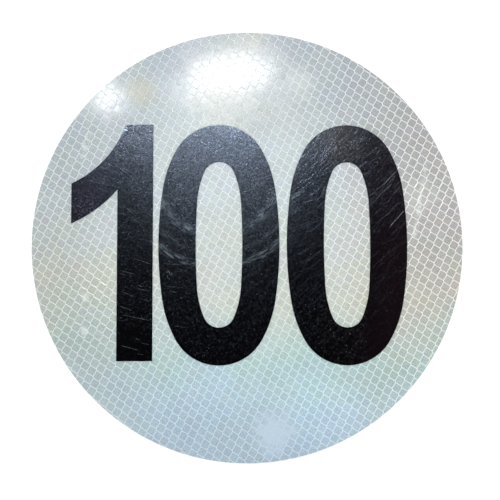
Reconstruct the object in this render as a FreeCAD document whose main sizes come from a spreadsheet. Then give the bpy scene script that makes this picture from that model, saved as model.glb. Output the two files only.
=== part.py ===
import FreeCAD, Part
import math
import os

import Sketcher

# A round speed sign, lying on its back: an aluminium disc, reflective sheeting over its
# whole face, and three digits cut from black film.
# Millimetres. The origin is the centre of the disc's back face, +Z comes out of the
# sign's face and +Y is up the sign as it is read.

doc = FreeCAD.newDocument("speed_limit_sign")

# Driving sizes
SIZES = [
    # The aluminium disc
    ("disc_diameter", 200.0),
    ("plate_thickness", 1.5),
    # The sheeting, from its back to the crowns of its cells
    ("sheet_thickness", 0.5),
    ("groove_depth", 0.1),
    # One cell of the sheeting: its two diagonals, the turn of the short one from +X, and
    # the cell centre that lies nearest to the disc's centre
    ("cell_short_diagonal", 4.475),
    ("cell_long_diagonal", 6.032),
    ("cell_turn", 14.1),
    ("cell_centre_x", -1.01),
    ("cell_centre_y", 0.41),
    # The flat that is left outside the last whole cell
    ("cell_edge_land", 0.3),
    # The black film, and the two lines that all digits are set from
    ("film_thickness", 0.1),
    ("digits_left", -81.9),
    ("digits_top", 56.1),
    # Digit one: a stem, and a flag between two hollow curves
    ("one_height", 109.5),
    ("one_stem_width", 16.5),
    ("one_crown_width", 12.7),
    ("one_flag_reach", 21.3),
    ("one_flag_drop", 27.5),
    ("one_flag_tip", 18.6),
    ("one_flag_root_drop", 30.2),
    ("one_upper_radius", 48.9),
    ("one_lower_radius", 58.2),
    # Digit zero: an outer and an inner oval, each of eight tangent arcs
    ("zero_width", 56.1),
    ("zero_height", 111.6),
    ("zero_side_stroke", 17.25),
    ("zero_bar_stroke", 17.4),
    ("zero_outer_cap_radius", 22.7),
    ("zero_outer_shoulder_radius", 54.0),
    ("zero_outer_flank_radius", 173.6),
    ("zero_inner_cap_radius", 7.4),
    ("zero_inner_shoulder_radius", 42.0),
    ("zero_inner_flank_radius", 313.0),
    # The gaps between the digits
    ("gap_one_to_zero", 2.6),
    ("gap_zero_to_zero", 3.4),
]
sheet = doc.addObject("Spreadsheet::Sheet", "sizes")
for row, (name, value) in enumerate(SIZES, start=1):
    sheet.set(f"A{row}", name)
    sheet.set(f"B{row}", str(value))
    sheet.setAlias(f"B{row}", name)
doc.recompute()


def size(name):
    return float(sheet.get(name))


# Sketch and feature helpers
def new_body(label):
    body = doc.addObject("PartDesign::Body", label)
    body.Label = label
    return body


def flat_sketch(body, name):
    """A sketch on the body's own XY plane."""
    plane = next(f for f in body.Origin.OriginFeatures if f.Role == "XY_Plane")
    sketch = body.newObject("Sketcher::SketchObject", name)
    sketch.AttachmentSupport = [(plane, "")]
    sketch.MapMode = "FlatFace"
    return sketch


def dimension(sketch, name, constraint, formula):
    """Add a named dimension and tie it to the sheet."""
    index = sketch.addConstraint(constraint)
    sketch.renameConstraint(index, name)
    sketch.setExpression(f"Constraints.{name}", formula)


def pad(body, sketch, name, formula):
    feature = body.newObject("PartDesign::Pad", name)
    feature.Profile = sketch
    feature.setExpression("Length", formula)
    body.Tip = feature
    return feature


Z = FreeCAD.Vector(0, 0, 1)
ORIGIN = FreeCAD.Vector(0, 0, 0)

# The sketcher's numbers for the points of a curve and for a sketch's own axes
START, END, CENTRE = range(1, 4)
AXIS_X, AXIS_Y = range(-1, -3, -1)


# The aluminium disc
plate = new_body("backing_plate")
blank = flat_sketch(plate, "plate_blank")
blank.addGeometry(Part.Circle(ORIGIN, Z, size("disc_diameter") / 2), False)
blank.addConstraint(Sketcher.Constraint("Coincident", 0, CENTRE, AXIS_X, START))
dimension(blank, "diameter", Sketcher.Constraint("Diameter", 0, size("disc_diameter")),
          "sizes.disc_diameter")
pad(plate, blank, "plate_pad", "sizes.plate_thickness")


# The reflective sheeting: two crossed sets of V grooves leave a low four-sided crown on
# each cell. The cells that the disc's edge would cut are flat, at the grooves' depth.
def cell_sheet():
    radius = size("disc_diameter") / 2
    crown = size("sheet_thickness")
    groove = crown - size("groove_depth")
    turn = math.radians(size("cell_turn"))
    across = FreeCAD.Vector(math.cos(turn), math.sin(turn), 0) * (size("cell_short_diagonal") / 2)
    along = FreeCAD.Vector(-math.sin(turn), math.cos(turn), 0) * (size("cell_long_diagonal") / 2)
    step_a, step_b = across - along, across + along
    first = FreeCAD.Vector(size("cell_centre_x"), size("cell_centre_y"), 0)
    reach = radius - size("cell_edge_land")
    count = math.ceil(2 * radius / min(across.Length, along.Length))

    vertices, edges, sides = {}, {}, set()

    def vertex(key, height):
        if key not in vertices:
            at = first + step_a * key[0] + step_b * key[1]
            vertices[key] = Part.Vertex(at.x, at.y, height)
        return vertices[key]

    def edge(key_1, key_2):
        pair = (min(key_1, key_2), max(key_1, key_2))
        if pair not in edges:
            edges[pair] = Part.Edge(vertices[pair[0]], vertices[pair[1]])
        return edges[pair]

    slopes = []
    for i in range(-count, count + 1):
        for j in range(-count, count + 1):
            ring = [(i - 0.5, j - 0.5), (i + 0.5, j - 0.5), (i + 0.5, j + 0.5), (i - 0.5, j + 0.5)]
            if any((first + step_a * a + step_b * b).Length > reach for a, b in ring):
                continue
            vertex((i, j), crown)
            for corner in ring:
                vertex(corner, groove)
            for k in range(4):
                one, other = ring[k], ring[(k + 1) % 4]
                sides.add((one, other))
                slope = Part.Face(Part.Wire([edge(one, other), edge(other, (i, j)), edge((i, j), one)]))
                if slope.normalAt(0, 0).z < 0:
                    slope.reverse()
                slopes.append(slope)

    # Walk round the last whole cells, by the sides that no other cell shares
    follow = {one: other for one, other in sides if (other, one) not in sides}
    corner = min(follow)
    walk = []
    for _ in follow:
        walk.append(edge(corner, follow[corner]))
        corner = follow[corner]
    border = Part.Wire(walk)
    base = Part.makeCylinder(radius, groove)
    top = max(base.Faces, key=lambda face: face.CenterOfMass.z)
    flat = Part.Face([top.OuterWire, border])
    if flat.Area > top.Area:
        border.reverse()
        flat = Part.Face([top.OuterWire, border])
    return Part.Solid(Part.Shell([f for f in base.Faces if not f.isSame(top)] + [flat] + slopes))


sheeting = doc.addObject("Part::Feature", "reflective_sheet")
sheeting.Label = "reflective_sheet"
sheeting.Shape = cell_sheet()
sheeting.setExpression("Placement.Base.z", "sizes.plate_thickness")


# Digit one, drawn from the foot of its stem's left side
one = new_body("digit_one")
outline = flat_sketch(one, "one_outline")


def one_points():
    height, top_corner = size("one_height"), size("one_stem_width") - size("one_crown_width")
    flag = height - size("one_flag_drop")
    xy = [(0, 0), (size("one_stem_width"), 0), (size("one_stem_width"), height),
          (top_corner, height), (-size("one_flag_reach"), flag),
          (-size("one_flag_reach"), flag - size("one_flag_tip")),
          (0, height - size("one_flag_root_drop"))]
    return [FreeCAD.Vector(x, y, 0) for x, y in xy]


def hollow_arc(lower, upper, radius):
    """The arc between two points that bulges away from the digit's upper left."""
    chord = upper - lower
    rise = math.sqrt(radius ** 2 - (chord.Length / 2) ** 2)
    centre = (lower + upper) * 0.5 + FreeCAD.Vector(-chord.y, chord.x, 0) * (rise / chord.Length)
    angles = [math.atan2(p.y - centre.y, p.x - centre.x) for p in (lower, upper)]
    return Part.ArcOfCircle(Part.Circle(centre, Z, radius), *angles)


foot_l, foot_r, top_r, top_l, flag_up, flag_low, root = one_points()
FOOT, RIGHT, TOP, UPPER, TIP, LOWER, LEFT = range(7)
outline.addGeometry([
    Part.LineSegment(foot_l, foot_r),
    Part.LineSegment(foot_r, top_r),
    Part.LineSegment(top_r, top_l),
    hollow_arc(flag_up, top_l, size("one_upper_radius")),
    Part.LineSegment(flag_up, flag_low),
    hollow_arc(flag_low, root, size("one_lower_radius")),
    Part.LineSegment(root, foot_l)], False)
joins = [(FOOT, END, RIGHT, START), (RIGHT, END, TOP, START), (TOP, END, UPPER, END),
         (UPPER, START, TIP, START), (TIP, END, LOWER, START), (LOWER, END, LEFT, START),
         (LEFT, END, FOOT, START), (FOOT, START, AXIS_X, START)]
outline.addConstraint([Sketcher.Constraint("Coincident", *join) for join in joins])
outline.addConstraint([Sketcher.Constraint("Horizontal", FOOT), Sketcher.Constraint("Horizontal", TOP),
                       Sketcher.Constraint("Vertical", RIGHT), Sketcher.Constraint("Vertical", TIP),
                       Sketcher.Constraint("Vertical", LEFT)])
dimension(outline, "stem_width", Sketcher.Constraint(
    "DistanceX", FOOT, START, FOOT, END, foot_r.x), "sizes.one_stem_width")
dimension(outline, "height", Sketcher.Constraint(
    "DistanceY", RIGHT, START, RIGHT, END, top_r.y), "sizes.one_height")
dimension(outline, "crown_width", Sketcher.Constraint(
    "DistanceX", TOP, END, TOP, START, top_r.x - top_l.x), "sizes.one_crown_width")
dimension(outline, "flag_reach", Sketcher.Constraint(
    "DistanceX", TIP, START, FOOT, START, -flag_up.x), "sizes.one_flag_reach")
dimension(outline, "flag_drop", Sketcher.Constraint(
    "DistanceY", TIP, START, TOP, END, top_l.y - flag_up.y), "sizes.one_flag_drop")
dimension(outline, "flag_tip", Sketcher.Constraint(
    "DistanceY", TIP, END, TIP, START, flag_up.y - flag_low.y), "sizes.one_flag_tip")
dimension(outline, "root_drop", Sketcher.Constraint(
    "DistanceY", LEFT, START, TOP, END, top_l.y - root.y), "sizes.one_flag_root_drop")
dimension(outline, "upper_radius", Sketcher.Constraint(
    "Radius", UPPER, size("one_upper_radius")), "sizes.one_upper_radius")
dimension(outline, "lower_radius", Sketcher.Constraint(
    "Radius", LOWER, size("one_lower_radius")), "sizes.one_lower_radius")
pad(one, outline, "one_film", "sizes.film_thickness")


# Digit zero: ovals of two caps, two flanks and four shoulders, each tangent to the next.
# In a narrow oval the cap is limited to this share of the largest that fits its flanks.
CAP_SHARE = 0.97


def cap_radius(name, half_width, half_height):
    """The formula for a cap's radius, as a fillet that its flanks may limit."""
    flank = f"sizes.zero_{name}_flank_radius"
    room = f"(2 * ({half_width}) * {flank} - ({half_width})^2 - ({half_height})^2)"
    return f"min(sizes.zero_{name}_cap_radius; {CAP_SHARE} * {room} / (2 * ({flank} - ({half_height}))))"


def add_oval(sketch, name, half_width, half_height):
    """Draw an oval round the sketch's origin. Its half sizes are formulas on the sheet."""
    wide, high = sketch.evalExpression(half_width), sketch.evalExpression(half_height)
    cap_formula = cap_radius(name, half_width, half_height)
    cap = sketch.evalExpression(cap_formula)
    shoulder, flank = size(f"zero_{name}_shoulder_radius"), size(f"zero_{name}_flank_radius")

    # The shoulder's centre, from its distances to the centres of the cap and the flank
    cap_centre = FreeCAD.Vector(0, high - cap, 0)
    flank_centre = FreeCAD.Vector(wide - flank, 0, 0)
    apart = flank_centre - cap_centre
    unit = apart / apart.Length
    foot = ((shoulder - cap) ** 2 - (flank - shoulder) ** 2 + apart.Length ** 2) / (2 * apart.Length)
    aside = math.sqrt((shoulder - cap) ** 2 - foot ** 2)
    centre = cap_centre + unit * foot + FreeCAD.Vector(-unit.y, unit.x, 0) * aside
    cap_end = math.atan2(cap_centre.y - centre.y, cap_centre.x - centre.x)
    flank_end = math.atan2(centre.y - flank_centre.y, centre.x - flank_centre.x)

    def arc(x, y, radius, begin, end):
        return Part.ArcOfCircle(Part.Circle(FreeCAD.Vector(x, y, 0), Z, radius), begin, end)

    right = sketch.GeometryCount
    top, left, bottom = right + 2, right + 4, right + 6
    shoulders = [right + 1, right + 3, right + 5, right + 7]
    turn = math.pi
    sketch.addGeometry([
        arc(flank_centre.x, 0, flank, -flank_end, flank_end),
        arc(centre.x, centre.y, shoulder, flank_end, cap_end),
        arc(0, cap_centre.y, cap, cap_end, turn - cap_end),
        arc(-centre.x, centre.y, shoulder, turn - cap_end, turn - flank_end),
        arc(-flank_centre.x, 0, flank, turn - flank_end, turn + flank_end),
        arc(-centre.x, -centre.y, shoulder, turn + flank_end, turn + cap_end),
        arc(0, -cap_centre.y, cap, turn + cap_end, 2 * turn - cap_end),
        arc(centre.x, -centre.y, shoulder, 2 * turn - cap_end, 2 * turn - flank_end)], False)

    ring = range(right, right + 8)
    sketch.addConstraint(
        [Sketcher.Constraint("Tangent", k, END, right + (k + 1 - right) % 8, START) for k in ring]
        + [Sketcher.Constraint("PointOnObject", k, CENTRE, AXIS_X) for k in (right, left)]
        + [Sketcher.Constraint("PointOnObject", k, CENTRE, AXIS_Y) for k in (top, bottom)]
        + [Sketcher.Constraint("Equal", right, left), Sketcher.Constraint("Equal", top, bottom)]
        + [Sketcher.Constraint("Equal", shoulders[0], k) for k in shoulders[1:]])
    for part, k, radius, formula in (
            ("cap", top, cap, cap_formula),
            ("shoulder", shoulders[0], shoulder, f"sizes.zero_{name}_shoulder_radius"),
            ("flank", right, flank, f"sizes.zero_{name}_flank_radius")):
        dimension(sketch, f"{name}_{part}_radius", Sketcher.Constraint("Radius", k, radius), formula)
    rise, back = high - cap, flank - wide
    for side, kind, points, value, formula in (
            ("top", "DistanceY", (AXIS_X, START, top, CENTRE), rise,
             f"{half_height} - {cap_formula}"),
            ("bottom", "DistanceY", (bottom, CENTRE, AXIS_X, START), rise,
             f"{half_height} - {cap_formula}"),
            ("right", "DistanceX", (right, CENTRE, AXIS_X, START), back,
             f"sizes.zero_{name}_flank_radius - ({half_width})"),
            ("left", "DistanceX", (AXIS_X, START, left, CENTRE), back,
             f"sizes.zero_{name}_flank_radius - ({half_width})")):
        dimension(sketch, f"{name}_{side}", Sketcher.Constraint(kind, *points, value), formula)


def zero_digit(label):
    body = new_body(label)
    outline = flat_sketch(body, f"{label}_outline")
    add_oval(outline, "outer", "sizes.zero_width / 2", "sizes.zero_height / 2")
    add_oval(outline, "inner", "sizes.zero_width / 2 - sizes.zero_side_stroke",
             "sizes.zero_height / 2 - sizes.zero_bar_stroke")
    pad(body, outline, f"{label}_film", "sizes.film_thickness")
    return body


middle_zero = zero_digit("digit_zero_middle")
right_zero = zero_digit("digit_zero_right")

# The three digits in a row, on the crowns of the cells
stem_left = "sizes.digits_left + sizes.one_flag_reach"
middle_x = f"{stem_left} + sizes.one_stem_width + sizes.gap_one_to_zero + sizes.zero_width / 2"
right_x = f"{middle_x} + sizes.zero_width + sizes.gap_zero_to_zero"
for body, x, height in ((one, stem_left, "sizes.one_height"),
                        (middle_zero, middle_x, "sizes.zero_height / 2"),
                        (right_zero, right_x, "sizes.zero_height / 2")):
    body.setExpression("Placement.Base.x", x)
    body.setExpression("Placement.Base.y", f"sizes.digits_top - {height}")
    body.setExpression("Placement.Base.z", "sizes.plate_thickness + sizes.sheet_thickness")

doc.recompute()

# Check every object, then write one file for each piece
for item in doc.Objects:
    if "Invalid" in item.State or "Error" in item.State:
        raise RuntimeError(f"{item.Label} did not build: {item.State}")
pieces = [plate, sheeting, one, middle_zero, right_zero]
for piece in pieces:
    if piece.Shape.isNull() or not piece.Shape.isValid() or len(piece.Shape.Solids) != 1:
        raise RuntimeError(f"{piece.Label} is not one sound solid")
os.makedirs("parts", exist_ok=True)
for piece in pieces:
    piece.Shape.exportStep(f"parts/{piece.Label}.step")
    print(f"{piece.Label}: {piece.Shape.Volume:.1f} mm3, box {piece.Shape.BoundBox}")
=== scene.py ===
import math
import random

import bpy
from mathutils import Matrix, Vector


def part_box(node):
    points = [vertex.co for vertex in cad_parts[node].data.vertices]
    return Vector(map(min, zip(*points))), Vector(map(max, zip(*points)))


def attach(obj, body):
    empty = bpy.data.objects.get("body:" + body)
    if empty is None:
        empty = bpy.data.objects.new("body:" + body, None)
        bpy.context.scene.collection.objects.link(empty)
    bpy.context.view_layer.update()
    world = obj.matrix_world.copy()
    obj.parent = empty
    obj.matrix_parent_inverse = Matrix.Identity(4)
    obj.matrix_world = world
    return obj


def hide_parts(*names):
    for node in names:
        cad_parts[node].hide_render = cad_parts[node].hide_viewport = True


# The looks of a round speed sign that lies on its back under a camera: an aluminium disc,
# reflective sheeting in sealed cells, and three digits of scratched black film.
# Sizes in this script are millimetres, measured from the centre of the sign.
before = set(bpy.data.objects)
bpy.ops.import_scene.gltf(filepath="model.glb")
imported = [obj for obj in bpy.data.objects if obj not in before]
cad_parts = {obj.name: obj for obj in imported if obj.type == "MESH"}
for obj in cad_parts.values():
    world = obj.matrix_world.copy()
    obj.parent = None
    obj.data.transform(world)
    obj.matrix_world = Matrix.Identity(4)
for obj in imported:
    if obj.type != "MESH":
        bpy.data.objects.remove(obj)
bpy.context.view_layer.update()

MM = 0.001
SHEET_LOW, SHEET_HIGH = (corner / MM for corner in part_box("reflective_sheet"))
FACE = SHEET_HIGH.z

# The camera: its place, where it looks, and the lens and sensor that give the photo's view
CAMERA_PLACE = Vector((-1.5, -9.5, 231.8 + FACE))
CAMERA_LOOK = Vector((0.0104, 0.0311, -0.9995)).normalized()
CAMERA_LENS = 36.0
SENSOR_WIDTH = 36.0
# How far the floor goes to each side
FLOOR_REACH = 3000.0

# The light of the room from the sides and from straight above, and how steep a ray's rise is
# where the side light starts to fade and where it is gone
ROOM_LIGHT, DARK_LIGHT = 2.45, 0.01
FADE_START, FADE_END = 0.35, 0.85
# Soft glows overhead: the centre of each one's mirror image, its spread in degrees and its light
GLOWS = (((-16.0, 82.0), 7.1, 7.3), ((2.0, 84.0), 2.0, 6.0))
# Lamps that glare in the face: the centre of each one's mirror image, its width and height there,
# its turn in degrees and its watts
LAMP_HEIGHT = 1000.0
LAMPS = {"main_lamp": ((-7.0, 81.0), (37.5, 8.8), 4.5, 1.75),
         "fringe_lamp": ((-12.0, 79.0), (57.0, 9.0), 9.5, 0.3),
         "arm_lamp": ((-29.0, 73.0), (13.0, 6.0), 20.0, 0.12),
         "small_lamp": ((-65.0, 68.5), (12.0, 5.0), 33.0, 0.71)}

# One cell of the sheeting, as in the CAD's sheeting, and the step where two rows of cells meet
CELL_CENTRE = Vector((-1.01, 0.41))
CELL_TURN = math.radians(14.1)
HALF_SHORT = 4.475 / 2
HALF_LONG = 6.032 / 2
ROW_STEP = 0.83
# The sealed seam between cells, and the pillow of clear film over each cell
SEAM_HALF_WIDTH = 0.14
PILLOW_EDGE = 0.14
PILLOW_CORNER = 0.2
SEAM_DEPTH = 0.1
SHOULDER_DEPTH = 0.06
CROWN_DEPTH = 0.054
PILLOW_LEAN = 0.0038


# Mesh of the sheeting
def inset(polygon, distance):
    """The same convex polygon with every side moved inwards."""
    moved = []
    for before, here, after in zip(polygon[-1:] + polygon[:-1], polygon, polygon[1:] + polygon[:1]):
        into, out = (here - before).normalized(), (after - here).normalized()
        half_turn = into.angle_signed(out) / 2
        middle = (out - into).normalized()
        moved.append(here + middle * (distance / abs(math.cos(half_turn))))
    return moved


def round_off(polygon, radius, counts):
    """Replace each corner with an arc of that many points. Returns one list for each corner."""
    corners = []
    for before, here, after, count in zip(polygon[-1:] + polygon[:-1], polygon,
                                          polygon[1:] + polygon[:1], counts):
        into, out = (here - before).normalized(), (after - here).normalized()
        turn = abs(into.angle_signed(out))
        start = here - into * (radius * math.tan(turn / 2))
        centre = start + Vector((-into.y, into.x)) * radius
        arm = start - centre
        corners.append([centre + Matrix.Rotation(turn * k / (count - 1), 2) @ arm for k in range(count)])
    return corners


def lattice(across, along, step):
    """A point of the cells' lattice, counted in half widths, half lengths and half row steps."""
    place = Vector((across * HALF_SHORT, along * HALF_LONG + step * ROW_STEP / 2))
    return Matrix.Rotation(CELL_TURN, 2) @ place


# The corners of a cell, in the lattice's counts from its centre, and how many points round each off
CELL_CORNERS = ((1, 0, -1), (1, 0, 1), (0, 1, -1), (-1, 0, 1), (-1, 0, -1), (0, -1, 1))
CORNER_POINTS = (2, 2, 3, 2, 2, 3)


def cell_rings():
    """The two rings of a cell's pillow, its foot and its shoulder, seen from the cell's centre."""
    hexagon = [lattice(*corner) for corner in CELL_CORNERS]
    foot = inset(hexagon, SEAM_HALF_WIDTH)
    shoulder = inset(hexagon, SEAM_HALF_WIDTH + PILLOW_EDGE)
    return (round_off(foot, PILLOW_CORNER, CORNER_POINTS),
            round_off(shoulder, PILLOW_CORNER - PILLOW_EDGE, CORNER_POINTS))


class Sheeting:
    """The points and faces of the cells, before and after they are cut to the disc."""
    # Kinds of face. The first three are material slots too, and a wall has the pane's material.
    SEAM, PANE, EDGE, WALL = range(4)

    def __init__(self):
        self.points, self.faces, self.kinds, self.tints = [], [], [], []
        self.seam_points = {}

    def point(self, flat, depth):
        """Add a point that lies that deep below the highest of the face. Returns its number."""
        self.points.append((flat.x, flat.y, FACE - depth))
        return len(self.points) - 1

    def leaning(self, centre, ring, depth, lean):
        """Add the points of a ring round a cell's centre, on a plane that leans."""
        return [[self.point(centre + p, depth + lean.dot(p)) for p in corner] for corner in ring]

    def seam_point(self, counts):
        """The corner of the seams at those lattice counts, which the cells round it share."""
        if counts not in self.seam_points:
            self.seam_points[counts] = self.point(CELL_CENTRE + lattice(*counts), SEAM_DEPTH)
        return self.seam_points[counts]

    def face(self, corners, kind, tint):
        """Add a face, with its kind and the tint of its cell."""
        self.faces.append(tuple(corners))
        self.kinds.append(kind)
        self.tints.append(tint)

    def add_cell(self, across, along, rings, rng):
        """One cell: its share of the seams, the pillow's steep edge and its low crown."""
        foot, shoulder = rings
        centre = CELL_CENTRE + lattice(across, along, 0)
        tint = (rng.random(), rng.random(), rng.random())
        lean = Vector((rng.uniform(-1, 1), rng.uniform(-1, 1))) * PILLOW_LEAN
        crown = self.point(centre, CROWN_DEPTH)
        outer = [self.seam_point((across + a, along + b, step)) for a, b, step in CELL_CORNERS]
        low = self.leaning(centre, foot, SEAM_DEPTH, Vector((0, 0)))
        high = self.leaning(centre, shoulder, SHOULDER_DEPTH, lean)
        count = len(outer)
        for k in range(count):
            after = (k + 1) % count
            for a, b in zip(low[k], low[k][1:]):
                self.face((outer[k], b, a), self.SEAM, tint)
            self.face((outer[k], outer[after], low[after][0], low[k][-1]), self.SEAM, tint)
        low, high = sum(low, []), sum(high, [])
        for k in range(len(low)):
            after = (k + 1) % len(low)
            self.face((low[k], low[after], high[after], high[k]), self.WALL, tint)
            self.face((high[k], high[after], crown), self.PANE, tint)

    def cut_to_disc(self, radius):
        """Cut every face at the disc's edge. Faces that share a side share the new point."""
        inside = [math.hypot(x, y) < radius for x, y, _ in self.points]
        crossings = {}

        def crossing(a, b):
            pair = (min(a, b), max(a, b))
            if pair not in crossings:
                (ax, ay, az), (bx, by, bz) = self.points[pair[0]], self.points[pair[1]]
                dx, dy = bx - ax, by - ay
                square, linear = dx * dx + dy * dy, ax * dx + ay * dy
                root = math.sqrt(linear * linear - square * (ax * ax + ay * ay - radius * radius))
                share = (-linear + (root if inside[pair[0]] else -root)) / square
                crossings[pair] = len(self.points)
                self.points.append((ax + dx * share, ay + dy * share, az + (bz - az) * share))
            return crossings[pair]

        faces, kinds, tints = self.faces, self.kinds, self.tints
        self.faces, self.kinds, self.tints = [], [], []
        for face, kind, tint in zip(faces, kinds, tints):
            kept = []
            for a, b in zip(face, face[1:] + face[:1]):
                if inside[a]:
                    kept.append(a)
                if inside[a] != inside[b]:
                    kept.append(crossing(a, b))
            if len(kept) > 2:
                self.face(kept, kind, tint)

    def close(self, back):
        """Add the cut edge all round and the flat back."""
        sides = {(a, b) for face in self.faces for a, b in zip(face, face[1:] + face[:1])}
        follow = {a: b for a, b in sides if (b, a) not in sides}
        lower = {}
        for a in follow:
            x, y, _ = self.points[a]
            lower[a] = len(self.points)
            self.points.append((x, y, back))
        plain = (0.5, 0.5, 0.5)
        loop = [min(follow)]
        while len(loop) < len(follow):
            loop.append(follow[loop[-1]])
        for a in loop:
            self.face((follow[a], a, lower[a], lower[follow[a]]), self.EDGE, plain)
        self.face([lower[a] for a in reversed(loop)], self.EDGE, plain)

    def to_object(self, name):
        """The sheeting as a Blender object, its crowns smooth inside the sharp walls of the pillows."""
        used = sorted({corner for face in self.faces for corner in face})
        place = {old: new for new, old in enumerate(used)}
        mesh = bpy.data.meshes.new(name)
        mesh.from_pydata([Vector(self.points[k]) * MM for k in used], [],
                         [[place[corner] for corner in face] for face in self.faces])
        mesh.polygons.foreach_set("material_index", [self.PANE if kind == self.WALL else kind
                                                     for kind in self.kinds])
        mesh.polygons.foreach_set("use_smooth", [kind == self.PANE for kind in self.kinds])
        tint = mesh.attributes.new("cell_tint", "FLOAT_VECTOR", "FACE")
        tint.data.foreach_set("vector", [value for each in self.tints for value in each])
        wall_edges = {key for face, kind in zip(mesh.polygons, self.kinds) if kind == self.WALL
                      for key in face.edge_keys}
        for edge in mesh.edges:
            edge.use_edge_sharp = edge.key in wall_edges
        mesh.validate()
        piece = bpy.data.objects.new(name, mesh)
        bpy.context.scene.collection.objects.link(piece)
        return piece


def make_sheeting():
    """Every cell that reaches into the disc, cut to the disc and closed."""
    sheeting = Sheeting()
    rng = random.Random(7)
    rings = cell_rings()
    radius = min(SHEET_HIGH.x, SHEET_HIGH.y, -SHEET_LOW.x, -SHEET_LOW.y)
    count = math.ceil(radius / HALF_SHORT) + 1
    for across in range(-count, count + 1):
        for along in range(-count, count + 1):
            centre = CELL_CENTRE + lattice(across, along, 0)
            if (across + along) % 2 == 0 and centre.length < radius + HALF_LONG:
                sheeting.add_cell(across, along, rings, rng)
    sheeting.cut_to_disc(radius)
    sheeting.close(SHEET_LOW.z)
    return sheeting.to_object("cell_sheeting")


# Shader helpers
class Nodes:
    """A node tree. Its helpers take sockets or plain values and return sockets."""

    def __init__(self, tree):
        self.tree = tree

    def node(self, kind, inputs=None, **settings):
        """Add a node, with sockets or values for its inputs and with its own settings."""
        made = self.tree.nodes.new(kind)
        for key, value in settings.items():
            setattr(made, key, value)
        for key, value in (inputs or {}).items():
            if isinstance(value, bpy.types.NodeSocket):
                self.tree.links.new(value, made.inputs[key])
            else:
                made.inputs[key].default_value = value
        return made

    def math(self, operation, *values):
        """The result of that operation on numbers."""
        return self.node("ShaderNodeMath", dict(enumerate(values)), operation=operation).outputs[0]

    def times(self, first, *others):
        for other in others:
            first = self.math("MULTIPLY", first, other)
        return first

    def plus(self, first, second):
        return self.math("ADD", first, second)

    def off(self, value, centre):
        """How far a value is from another, to either side."""
        return self.math("ABSOLUTE", self.math("SUBTRACT", value, centre))

    def vector(self, operation, *values, output="Vector"):
        """The result of that operation on vectors. `output` is Value where that is a number."""
        made = self.node("ShaderNodeVectorMath", dict(enumerate(values)), operation=operation)
        return made.outputs[output]

    def between(self, value, low, high, to_low=0.0, to_high=1.0):
        """Ease a value from one range to another, and hold it at the ends."""
        made = self.node("ShaderNodeMapRange", {"Value": value, "From Min": low, "From Max": high,
                                                "To Min": to_low, "To Max": to_high},
                         interpolation_type="SMOOTHSTEP")
        return made.outputs["Result"]

    def split(self, vector):
        parts = self.node("ShaderNodeSeparateXYZ", {0: vector}).outputs
        return parts["X"], parts["Y"], parts["Z"]

    def noise(self, place, scale, detail=2.0, roughness=0.5, seed=0.0):
        """Noise with about `scale` bumps in each unit of the coordinates."""
        shifted = self.vector("ADD", place, (seed, seed * 1.7, seed * 0.6))
        return self.node("ShaderNodeTexNoise", {"Vector": shifted, "Scale": scale, "Detail": detail,
                                                "Roughness": roughness}).outputs["Fac"]

    def colours(self, value, stops):
        """A ramp of (position, colour) stops."""
        ramp = self.node("ShaderNodeValToRGB", {"Fac": value})
        elements = ramp.color_ramp.elements
        while len(elements) < len(stops):
            elements.new(0.5)
        for element, (position, colour) in zip(elements, stops):
            element.position, element.color = position, (*colour, 1)
        return ramp.outputs["Color"]

    def mix(self, share, first, second, blend="MIX"):
        """A share of the second colour over the first, or of their product with MULTIPLY."""
        made = self.node("ShaderNodeMix", data_type="RGBA", blend_type=blend)
        for socket, value in ((made.inputs[0], share), (made.inputs[6], first), (made.inputs[7], second)):
            if isinstance(value, bpy.types.NodeSocket):
                self.tree.links.new(value, socket)
            else:
                socket.default_value = value if isinstance(value, float) else (*value, 1)
        return made.outputs[2]

    def tinted(self, colour, factor):
        """A colour times one factor for all three channels."""
        grey = self.node("ShaderNodeCombineColor", {0: factor, 1: factor, 2: factor}).outputs[0]
        return self.mix(1.0, colour, grey, "MULTIPLY")


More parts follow.
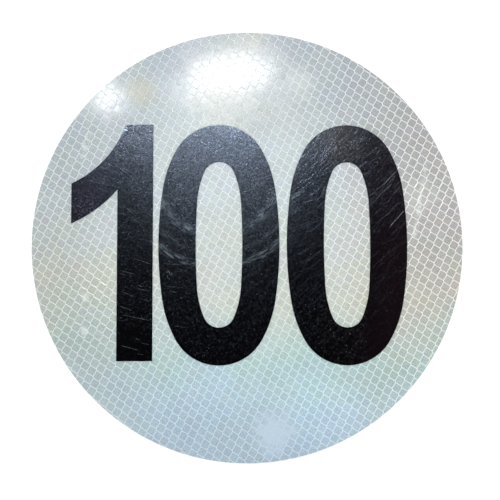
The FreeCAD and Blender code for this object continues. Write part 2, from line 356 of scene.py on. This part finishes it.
class Shader(Nodes):
    """A material, with its place on the sign in millimetres."""

    def __init__(self, name):
        self.material = bpy.data.materials.new(name)
        self.material.use_nodes = True
        super().__init__(self.material.node_tree)
        self.surface = self.tree.nodes["Principled BSDF"]
        coordinates = self.node("ShaderNodeTexCoord").outputs["Object"]
        self.place = self.vector("MULTIPLY", coordinates, (1 / MM,) * 3)
        self.x, self.y, _ = self.split(self.place)

    def set(self, **values):
        """Set inputs of the surface. Underscores in a name stand for spaces."""
        for key, value in values.items():
            socket = self.surface.inputs[key.replace("_", " ")]
            if isinstance(value, bpy.types.NodeSocket):
                self.tree.links.new(value, socket)
            else:
                socket.default_value = value

    def bump(self, height, distance, normal=None):
        """The normal of a bumpy surface, where a height of 1 stands for that many millimetres."""
        inputs = {"Height": height, "Distance": distance * MM, "Strength": 1.0}
        if normal is not None:
            inputs["Normal"] = normal
        return self.node("ShaderNodeBump", inputs).outputs["Normal"]

    def facets(self, scale, lean):
        """Normals that lean at random from one small facet to the next."""
        facet = self.node("ShaderNodeTexVoronoi", {"Vector": self.place, "Scale": scale})
        leaning = self.vector("SUBTRACT", facet.outputs["Color"], (0.5, 0.5, 0.5))
        leaning = self.vector("MULTIPLY", leaning, (lean, lean, 0.0))
        normal = self.node("ShaderNodeNewGeometry").outputs["Normal"]
        return self.vector("NORMALIZE", self.vector("ADD", leaning, normal))

    def distance(self, centre):
        """How far a point of the face is from a centre."""
        return self.vector("DISTANCE", self.place, (*centre, FACE), output="Value")

    def spot(self, centre, radius, soft):
        """1 inside a round spot, 0 outside it, with a soft edge."""
        return self.between(self.distance(centre), radius - soft, radius + soft, 1.0, 0.0)

    def turned(self, degrees, length, width):
        """Coordinates for streaks of that length and width, at an angle to the x axis."""
        return self.node("ShaderNodeMapping", {"Vector": self.place, "Scale": (length, width, 1.0),
                                               "Rotation": (0.0, 0.0, math.radians(degrees))},
                         vector_type="TEXTURE").outputs[0]

    def scratch(self, start, end, width):
        """1 along a straight scratch between two points of the face."""
        start, end = Vector(start), Vector(end)
        along = (end - start).normalized()
        middle, reach = (start + end) / 2, (end - start).length / 2
        lengthways = self.plus(self.times(self.x, along.x), self.times(self.y, along.y))
        sideways = self.math("SUBTRACT", self.times(self.y, along.x), self.times(self.x, along.y))
        to_middle = self.off(lengthways, middle.dot(along))
        to_line = self.off(sideways, middle.y * along.x - middle.x * along.y)
        return self.times(self.between(to_middle, reach * 0.6, reach, 1.0, 0.0),
                          self.between(to_line, width * 0.3, width, 1.0, 0.0))

    def round_coordinates(self, centre, arc_scale, radius_scale):
        """Coordinates that run round a centre, for streaks along circles, and the distance to it."""
        dx, dy = self.math("SUBTRACT", self.x, centre[0]), self.math("SUBTRACT", self.y, centre[1])
        squares = [self.math("POWER", self.math("ABSOLUTE", side), 2.0) for side in (dx, dy)]
        radius = self.math("POWER", self.plus(*squares), 0.5)
        angle = self.math("ARCTAN2", dx, self.times(dy, -1.0))
        place = self.node("ShaderNodeCombineXYZ", {"X": self.times(angle, arc_scale),
                                                   "Y": self.times(radius, radius_scale)})
        return place.outputs[0], radius


def srgb(*channels):
    """A colour given as 0 to 255 display values."""
    return tuple(v / 255 / 12.92 if v < 11 else ((v / 255 + 0.055) / 1.055) ** 2.4 for v in channels)


# Materials of the sheeting
def face_colours_with_painted_light(shader, stops, rim, left, right):
    """Colours that change down the face in soft uneven bands, darker towards the rim: painted prismatic
    reflection colours of the sheeting, and painted light and shade.

    `left` and `right` are painted tints of light and shade for the two sides, each a pair for the lower and
    the upper half.
    """
    # Painted prismatic reflection colours in bands down the face, darker towards the rim
    drift = shader.between(shader.noise(shader.place, 0.018, 1.0), 0.3, 0.7, -8.0, 8.0)
    share = shader.between(shader.plus(shader.y, drift), -100.0, 100.0)
    share.node.interpolation_type = "LINEAR"
    away = shader.distance((-4.0, 0.0))
    colour = shader.tinted(shader.colours(share, stops), shader.between(away, 45.0, 92.0, 1.0, rim))
    # Painted light and shade: each side tinted lighter or darker in its lower and upper half
    upper = shader.between(shader.y, -55.0, 5.0)
    for (low, high), way, far in ((left, -1.0, 80.0), (right, 1.0, 85.0)):
        side = shader.between(shader.times(shader.x, way), 20.0, far)
        colour = shader.mix(side, colour, shader.mix(upper, low, high), "MULTIPLY")
    return colour


# Soft spots of another tint: centre, radius, softness, and the tints of the panes and of the seams.
# Most lie round the lamps' glare at the top and are painted light and shade of it: brighter, warmer cells at
# (-50, 72), (0, 78) and (2, 96.5) where it glints, and darker spots round it. The last, low on the right, is
# a brighter tint of the sheeting.
ON_PANES, ON_SEAMS = 0, 1
SPOTS_WITH_PAINTED_GLARE = (((-50.0, 72.0), 6.0, 4.0, (1.13, 1.03, 0.87), (0.86, 0.84, 0.78)),
         ((-36.0, 86.0), 11.0, 5.0, (0.9, 0.92, 0.94), (0.95, 0.96, 0.98)),
         ((-17.0, 95.0), 8.0, 5.0, (0.92, 0.93, 0.94), (0.95, 0.95, 0.96)),
         ((22.0, 95.0), 8.0, 5.0, (0.93, 0.94, 0.95), (0.95, 0.96, 0.97)),
         ((-53.0, 60.0), 9.0, 5.0, (0.94, 0.95, 0.96), (0.96, 0.965, 0.97)),
         ((-4.0, 60.0), 15.0, 7.0, (0.9, 0.895, 0.88), (0.94, 0.93, 0.91)),
         ((0.0, 78.0), 28.0, 10.0, (1.02, 1.0, 0.97), (1.01, 0.98, 0.95)),
         ((2.0, 96.5), 6.0, 4.0, (1.1, 1.04, 0.97), (1.08, 1.03, 0.97)),
         ((34.0, -78.0), 19.0, 10.0, (1.09, 1.11, 1.12), (1.07, 1.09, 1.1)))
# Pale patches: centre, radius, strength and display colour. The two next to the main glare, at (-12, 72)
# and (24, 76), are a painted veil of its highlight.
PATCHES_WITH_PAINTED_VEIL = (((12.5, -86.0), 9.5, 0.9, (171, 188, 201)), ((-12.0, 72.0), 18.0, 0.35, (212, 215, 210)),
           ((24.0, 76.0), 8.0, 0.3, (205, 209, 210)), ((-74.9, -23.9), 1.9, 0.5, (208, 217, 214)),
           ((-75.4, -39.1), 1.9, 0.45, (208, 217, 214)), ((81.0, 22.0), 9.0, 0.2, (205, 206, 202)))
# Broken pale streaks: start, end, width and strength
STREAKS = (((83.8, 41.0), (79.3, 17.5), 1.3, 0.5), ((80.4, 23.0), (77.3, 1.0), 1.6, 0.65),
           ((-73.9, 53.8), (-77.3, 38.5), 2.0, 0.5))


def spotted(shader, colour, which):
    """A colour of the face with the soft spots in it, most of them painted light and shade round the glare,
    `which` being ON_PANES or ON_SEAMS.
    """
    for centre, radius, soft, *tints in SPOTS_WITH_PAINTED_GLARE:
        colour = shader.mix(shader.spot(centre, radius, soft), colour, tints[which], "MULTIPLY")
    return colour


def veiled(shader, colour):
    """A colour of the face under its pale patches and streaks, where the seams hardly show; two of the
    patches are a painted veil of the glare's highlight.
    """
    warp = shader.between(shader.noise(shader.place, 0.3, 3.0, 0.6, 4.0), 0.25, 0.75, -0.4, 0.4)
    for centre, radius, strength, pale in PATCHES_WITH_PAINTED_VEIL:
        away = shader.plus(shader.math("DIVIDE", shader.distance(centre), radius), warp)
        colour = shader.mix(shader.between(away, 0.3, 1.4, strength, 0.0), colour, srgb(*pale))
    broken = shader.between(shader.noise(shader.place, 0.55, 3.0, 0.7, 2.0), 0.42, 0.6)
    for start, end, width, strength in STREAKS:
        share = shader.times(shader.scratch(start, end, width), strength, broken)
        colour = shader.mix(share, colour, srgb(212, 219, 214))
    return colour


def pane_material():
    """The cells: silvery beads under a pillow of clear film."""
    shader = Shader("cell_pane")
    # Painted prismatic reflection colours down the face, and painted light and shade at the sides: warmer and
    # lighter low on the right, darker high on the right
    colour = face_colours_with_painted_light(shader, [
        (0.0, srgb(164, 183, 198)), (0.12, srgb(167, 189, 201)), (0.24, srgb(162, 186, 186)),
        (0.4, srgb(182, 188, 181)), (0.6, srgb(180, 190, 192)), (0.8, srgb(173, 183, 187)),
        (1.0, srgb(162, 171, 178))], 0.84,
        ((1.06, 0.96, 0.91), (0.93, 0.93, 0.93)), ((1.13, 1.05, 1.0), (0.92, 0.84, 0.785)))
    own = shader.node("ShaderNodeAttribute", attribute_name="cell_tint")
    own_light, own_hue, _ = shader.split(own.outputs["Vector"])
    colour = shader.tinted(colour, shader.between(own_light, 0.0, 1.0, 0.97, 1.03))
    patch = shader.between(shader.noise(shader.place, 0.045, 2.0, 0.6, 9.0), 0.25, 0.75)
    patch = shader.plus(patch, shader.between(own_hue, 0.0, 1.0, -0.18, 0.18))
    hue = shader.colours(patch, [(0.1, (1.0, 0.967, 0.988)), (0.35, (0.98, 0.985, 1.03)),
                                 (0.6, (0.98, 1.0, 0.984)), (0.9, (1.0, 0.984, 0.958))])
    colour = spotted(shader, shader.mix(1.0, colour, hue, "MULTIPLY"), ON_PANES)
    beads = shader.between(shader.noise(shader.place, 1.6, 2.0, 0.6), 0.3, 0.7, 0.83, 1.13)
    colour = veiled(shader, shader.tinted(colour, beads))
    ripple = shader.bump(shader.noise(shader.place, 0.9, 2.0), 0.002)
    shader.set(Base_Color=colour, Metallic=0.0, Roughness=0.42, Specular_IOR_Level=0.1,
               Coat_Weight=0.45, Coat_Roughness=0.13, Coat_IOR=1.5, Coat_Normal=ripple)
    return shader.material


def seam_material():
    """The pale sealed lines between the cells."""
    shader = Shader("cell_seam")
    # Painted prismatic reflection colours down the face, and painted light at the sides: seams lighter on the
    # right
    colour = face_colours_with_painted_light(shader, [
        (0.0, srgb(190, 207, 216)), (0.12, srgb(196, 217, 222)), (0.24, srgb(199, 216, 216)),
        (0.4, srgb(213, 218, 216)), (0.6, srgb(216, 221, 224)), (0.8, srgb(210, 219, 223)),
        (1.0, srgb(210, 221, 225))], 0.95,
        ((1.04, 0.95, 0.92), (0.96, 0.94, 0.92)), ((1.26, 1.15, 1.12), (1.19, 1.09, 1.045)))
    shader.set(Base_Color=veiled(shader, spotted(shader, colour, ON_SEAMS)), Metallic=0.0,
               Roughness=shader.between(shader.noise(shader.place, 1.5), 0.3, 0.7, 0.5, 0.7),
               Specular_IOR_Level=0.1, Coat_Weight=0.2, Coat_Roughness=0.13, Coat_IOR=1.5)
    return shader.material


def edge_material():
    """The cut edge and the back of the sheeting: milky layers of plastic."""
    shader = Shader("sheeting_edge")
    layers = shader.noise(shader.place, 2.5, 3.0)
    colour = shader.colours(layers, [(0.3, srgb(196, 200, 201)), (0.7, srgb(219, 222, 222))])
    shader.set(Base_Color=colour, Roughness=0.5)
    return shader.material


# Material of the film
# Scratches: start, end, width and strength
SCRATCHES = (((60.3, 22.2), (67.6, 29.1), 0.2, 0.5), ((65.5, 8.0), (73.6, 17.0), 0.26, 1.0),
             ((64.1, 13.5), (66.7, 15.8), 0.22, 0.7), ((67.2, 23.0), (71.4, 27.8), 0.2, 0.45),
             ((62.6, 27.5), (70.2, 35.7), 0.22, 0.5), ((66.0, 29.5), (68.9, 33.4), 0.22, 0.4),
             ((67.9, 26.4), (71.3, 30.1), 0.2, 0.35), ((51.0, 42.4), (55.7, 45.8), 0.2, 0.2),
             ((47.6, 39.7), (50.3, 42.6), 0.2, 0.4), ((51.1, 44.2), (54.1, 47.4), 0.2, 0.4),
             ((24.5, 38.6), (29.2, 42.0), 0.2, 0.35), ((25.0, 19.4), (30.6, 21.2), 0.3, 0.6),
             ((19.0, 22.6), (27.2, 25.7), 0.8, 0.5), ((19.6, 21.3), (24.6, 23.8), 0.6, 0.8),
             ((-62.0, 41.1), (-59.3, 38.9), 0.2, 0.7), ((-61.9, 37.7), (-56.5, 33.4), 0.2, 0.7),
             ((-47.7, 49.8), (-45.3, 47.2), 0.22, 0.6), ((-56.2, 17.2), (-52.4, 13.6), 0.22, 0.4),
             ((-53.1, -6.1), (-48.8, -7.3), 0.2, 0.3), ((-49.3, -7.3), (-44.7, -8.9), 0.22, 0.5),
             ((-59.3, -11.6), (-51.7, -13.7), 0.2, 0.4), ((-59.3, -13.0), (-56.6, -13.9), 0.22, 0.35),
             ((-50.8, -18.3), (-48.8, -19.4), 0.25, 0.4), ((-51.2, -20.2), (-45.2, -21.2), 0.2, 0.35),
             ((-58.5, -21.3), (-51.2, -24.5), 0.2, 0.35), ((-50.8, -24.4), (-45.0, -26.1), 0.2, 0.3),
             ((-59.6, -28.0), (-53.1, -30.3), 0.2, 0.35), ((-58.5, -32.0), (-44.8, -34.9), 0.22, 0.45),
             ((-51.9, -43.1), (-49.6, -43.7), 0.22, 0.45), ((-49.6, -45.0), (-45.2, -45.9), 0.2, 0.3),
             ((-58.9, -46.1), (-50.0, -48.5), 0.22, 0.4), ((-50.8, -50.0), (-48.1, -50.5), 0.2, 0.3),
             ((-39.6, -8.6), (-29.6, -9.1), 0.2, 0.35), ((-38.1, -19.1), (-29.6, -19.8), 0.2, 0.4),
             ((-36.5, -21.0), (-33.0, -22.1), 0.2, 0.3), ((-34.6, -37.4), (-27.6, -38.1), 0.2, 0.25))
# Where it is wiped dull: the centre and radius of spots, and how much more haze they have
SCUFFS = (((40.0, 47.0), 14.0, 5.5), ((24.0, 18.0), 9.0, 1.2), ((-27.5, 8.0), 3.4, 14.0),
          ((-36.0, -13.5), 3.2, 9.0), ((-31.0, -12.0), 2.6, 5.0), ((10.5, 22.0), 4.0, 8.0),
          ((-73.0, 12.0), 16.0, 5.0), ((-0.5, -1.7), 1.0, 20.0), ((19.8, 6.8), 2.4, 8.0))
# Where it is cleaner: the centre of spots, the radius where they start to fade and the one where
# they end, and the share of marks left in them
CLEAN_SPOTS = (((-54.0, -50.0), 9.0, 16.0, 0.4), ((26.0, -10.0), 8.0, 22.0, 0.5))
# Wipe marks in circles round one centre: the radii of the hazy rounds, and arcs of hairs with
# their radius, width and strength, and the height on the sign from where they fade
WIPE_CENTRE = (-14.5, 32.6)
HAZY_ROUNDS = (29.4, 43.7)
WIPE_ARCS = ((28.3, 3.2, 0.9, 20.0), (36.5, 2.0, 0.3, 8.0), (42.5, 2.8, 1.0, 8.0))
# The film's deep black and its painted reflections of the room's light from place to place, and the colours
# of the marks on it
DEEP_BLACK, LEFT_BLACK_SHEEN = (0.0007, 0.0003, 0.0006), (0.0075, 0.0065, 0.012)
RIGHT_BLACK_SHEEN, TOP_BLACK_SHEEN = (0.005, 0.0022, 0.0034), (0.016, 0.0105, 0.0075)
LEFT_PALE, MIDDLE_PALE, RIGHT_PALE = (0.15, 0.142, 0.19), (0.12, 0.15, 0.18), (0.167, 0.167, 0.18)
# Raised hairlines all over the film: their direction in degrees and how high they stand
HAIRLINES = ((2.0, 0.003), (22.0, 0.006), (41.0, 0.008), (60.0, 0.007), (152.0, 0.004), (166.0, 0.005))


def film_marks(shader):
    """How much dust, haze, wipe marks and scratches hide the black, from 0 to 1."""
    wipe_place, wipe_radius = shader.round_coordinates(WIPE_CENTRE, 9.0, 1.9)
    wiped = shader.times(shader.between(shader.x, -47.0, -43.0),
                         shader.between(shader.x, 16.0, 18.0, 1.0, 0.0))
    below = shader.times(shader.between(shader.y, 24.0, 32.0, 1.0, 0.0), wiped)
    haze = 1.0
    for radius in HAZY_ROUNDS:
        inside = shader.between(wipe_radius, radius - 1.5, radius, 1.5, 0.0)
        haze = shader.plus(haze, shader.times(inside, below))
    for centre, radius, more in SCUFFS:
        haze = shader.plus(haze, shader.between(shader.distance(centre), 0.0, radius, more, 0.0))
    dust = shader.between(shader.noise(shader.place, 1.15, 2.0, 0.6), 0.48, 0.83, 0.0, 0.14)
    specks = shader.between(shader.noise(shader.place, 1.3, 2.0, 0.7, 5.0), 0.65, 0.765, 0.0, 0.62)
    marks = shader.plus(shader.times(haze, dust), specks)
    marks = shader.times(marks, shader.between(shader.y, -55.0, -20.0, 0.75, 1.0))
    for centre, near, far, share in CLEAN_SPOTS:
        marks = shader.times(marks, shader.between(shader.distance(centre), near, far, share, 1.0))
    # The right side of the right zero is cleaner too, from halfway down
    clean = shader.times(shader.between(shader.x, 50.0, 58.0), shader.between(shader.y, 4.0, 26.0, 0.75, 0.0))
    marks = shader.times(marks, shader.math("SUBTRACT", 1.0, clean))
    hairs = shader.times(shader.between(shader.noise(wipe_place, 1.0, 3.0, 0.7, 3.0), 0.42, 0.68),
                         shader.between(shader.noise(shader.place, 0.22, 2.0, 0.6, 8.0), 0.3, 0.6, 0.4, 1.2))
    for radius, width, strength, top in WIPE_ARCS:
        arc = shader.times(shader.between(shader.off(wipe_radius, radius), 0.0, width, strength, 0.0),
                           shader.between(shader.y, top, top + 8.0, 1.0, 0.0))
        marks = shader.math("MAXIMUM", marks, shader.times(arc, hairs, wiped))
    breaks = shader.between(shader.noise(shader.place, 1.1, 2.0, 0.5, 11.0), 0.35, 0.6, 0.25, 1.0)
    for start, end, width, strength in SCRATCHES:
        line = shader.times(shader.scratch(start, end, width), strength, breaks)
        marks = shader.math("MAXIMUM", marks, line)
    return marks


def film_material():
    """Black film, dull with grain, wiped in circles and scratched, with painted reflections of the room's
    light on its black.
    """
    shader = Shader("scratched_black_film")
    marks = film_marks(shader)
    # Painted reflection: the black is lit bluest on the one's flag, at the left, and warmest on the right
    # zero and at its top
    black = shader.mix(shader.between(shader.x, 40.0, 75.0), DEEP_BLACK, RIGHT_BLACK_SHEEN)
    black = shader.mix(shader.between(shader.x, -74.0, -58.0), LEFT_BLACK_SHEEN, black)
    black = shader.mix(shader.spot((43.0, 50.0), 10.0, 9.0), black, TOP_BLACK_SHEEN)
    pale = shader.mix(shader.between(shader.x, -76.0, -62.0), LEFT_PALE, MIDDLE_PALE)
    pale = shader.mix(shader.between(shader.x, 24.0, 40.0), pale, RIGHT_PALE)
    height = 0.0
    for turn, rise in HAIRLINES:
        lines = shader.noise(shader.turned(turn, 16.0, 0.3), 1.0, 1.0, 0.5, turn)
        height = shader.plus(height, shader.between(lines, 0.65, 0.72, 0.0, rise))
    shader.set(Base_Color=shader.mix(marks, black, pale), Roughness=0.14, Specular_IOR_Level=0.75,
               Specular_Tint=(0.62, 0.76, 1.0, 1.0),
               Normal=shader.bump(height, 1.0, shader.facets(2.2, 0.057)))
    return shader.material


# Materials of the plate and the floor
def aluminium_material():
    """Rolled aluminium, with streaks along the rolling direction and a dull oxide bloom."""
    shader = Shader("rolled_aluminium")
    rolling = shader.noise(shader.vector("MULTIPLY", shader.place, (0.04, 2.5, 1.0)), 1.0, 4.0, 0.6)
    bloom = shader.noise(shader.place, 0.05, 3.0, 0.6)
    colour = shader.mix(shader.between(bloom, 0.35, 0.7), srgb(203, 205, 207), srgb(188, 191, 194))
    shader.set(Base_Color=colour, Metallic=1.0, Roughness=shader.between(rolling, 0.3, 0.7, 0.28, 0.46),
               Normal=shader.bump(rolling, 0.01))
    return shader.material


def floor_material():
    """A matt floor, a little uneven in its white."""
    shader = Shader("pale_floor")
    colour = shader.mix(shader.noise(shader.place, 0.02, 2.0), srgb(248, 248, 248), srgb(250, 250, 249))
    shader.set(Base_Color=colour, Roughness=0.8, Specular_IOR_Level=0.1)
    return shader.material


# Floor, light and camera
def make_floor():
    mesh = bpy.data.meshes.new("studio_floor")
    corners = [Vector((x, y, 0)) * FLOOR_REACH * MM for x, y in ((-1, -1), (1, -1), (1, 1), (-1, 1))]
    mesh.from_pydata(corners, [], [(0, 1, 2, 3)])
    mesh.materials.append(floor_material())
    floor = bpy.data.objects.new("studio_floor", mesh)
    bpy.context.scene.collection.objects.link(floor)


def mirror_ray(glare):
    """From a glare on the face, towards the light whose mirror image it is."""
    ray = Vector((*glare, FACE)) - CAMERA_PLACE
    ray.z = -ray.z
    return ray


def pointing(place, look, lean=0.0):
    """The matrix of a camera or lamp that looks that way, its width along x and turned by `lean`."""
    back = -look.normalized()
    right = Vector((1.0, 0.0, 0.0))
    right = (right - back * right.dot(back)).normalized()
    turn = Matrix((right, back.cross(right), back)).transposed()
    return Matrix.Translation(place * MM) @ (turn @ Matrix.Rotation(math.radians(lean), 3, "Z")).to_4x4()


def glare_lamp(name, glare, spread, lean, watts):
    """A lamp whose mirror image on the face is at `glare`, `spread` wide and high, turned by `lean`."""
    lamp = bpy.data.lights.new(name, "AREA")
    lamp.shape = "ELLIPSE"
    ray = mirror_ray(glare)
    growth = (1 + LAMP_HEIGHT / ray.z) * MM
    lamp.size, lamp.size_y = spread[0] * growth, spread[1] * growth
    lamp.energy = watts
    made = bpy.data.objects.new(name, lamp)
    made.matrix_world = pointing(Vector((*glare, FACE)) + ray * (LAMP_HEIGHT / ray.z), -ray, lean)
    bpy.context.scene.collection.objects.link(made)


def make_light():
    """A bright room, dark overhead but for the soft glows round the lamps that glare in the face."""
    world = bpy.data.worlds.new("soft_room")
    world.use_nodes = True
    sky = Nodes(world.node_tree)
    direction = sky.node("ShaderNodeTexCoord").outputs["Generated"]
    room = sky.between(sky.split(direction)[2], FADE_START, FADE_END, ROOM_LIGHT, DARK_LIGHT)
    for centre, spread, light in GLOWS:
        cosine = sky.vector("DOT_PRODUCT", direction, mirror_ray(centre).normalized(), output="Value")
        fall = sky.math("DIVIDE", sky.math("SUBTRACT", cosine, 1.0), math.radians(spread) ** 2)
        room = sky.plus(room, sky.times(sky.math("EXPONENT", fall), light))
    background = sky.tree.nodes["Background"]
    sky.tree.links.new(room, background.inputs["Strength"])
    background.inputs["Color"].default_value = (1.0, 1.0, 1.0, 1.0)
    bpy.context.scene.world = world
    for name, lamp in LAMPS.items():
        glare_lamp(name, *lamp)


def make_camera():
    data = bpy.data.cameras.new("camera")
    data.lens, data.sensor_width = CAMERA_LENS, SENSOR_WIDTH
    data.clip_start, data.clip_end = 0.01, 20.0
    camera = bpy.data.objects.new("camera", data)
    camera.matrix_world = pointing(CAMERA_PLACE, CAMERA_LOOK)
    bpy.context.scene.collection.objects.link(camera)
    bpy.context.scene.camera = camera


def give(node, material):
    """Put one material on a CAD node."""
    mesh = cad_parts[node].data
    mesh.materials.clear()
    mesh.materials.append(material)


sheeting = make_sheeting()
for material in (seam_material(), pane_material(), edge_material()):
    sheeting.data.materials.append(material)
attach(sheeting, "root")
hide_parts("reflective_sheet")

film = film_material()
for digit in ("digit_one", "digit_zero_middle", "digit_zero_right"):
    give(digit, film)
give("backing_plate", aluminium_material())

make_floor()
make_light()
make_camera()
bpy.context.scene.view_settings.view_transform = "Standard"
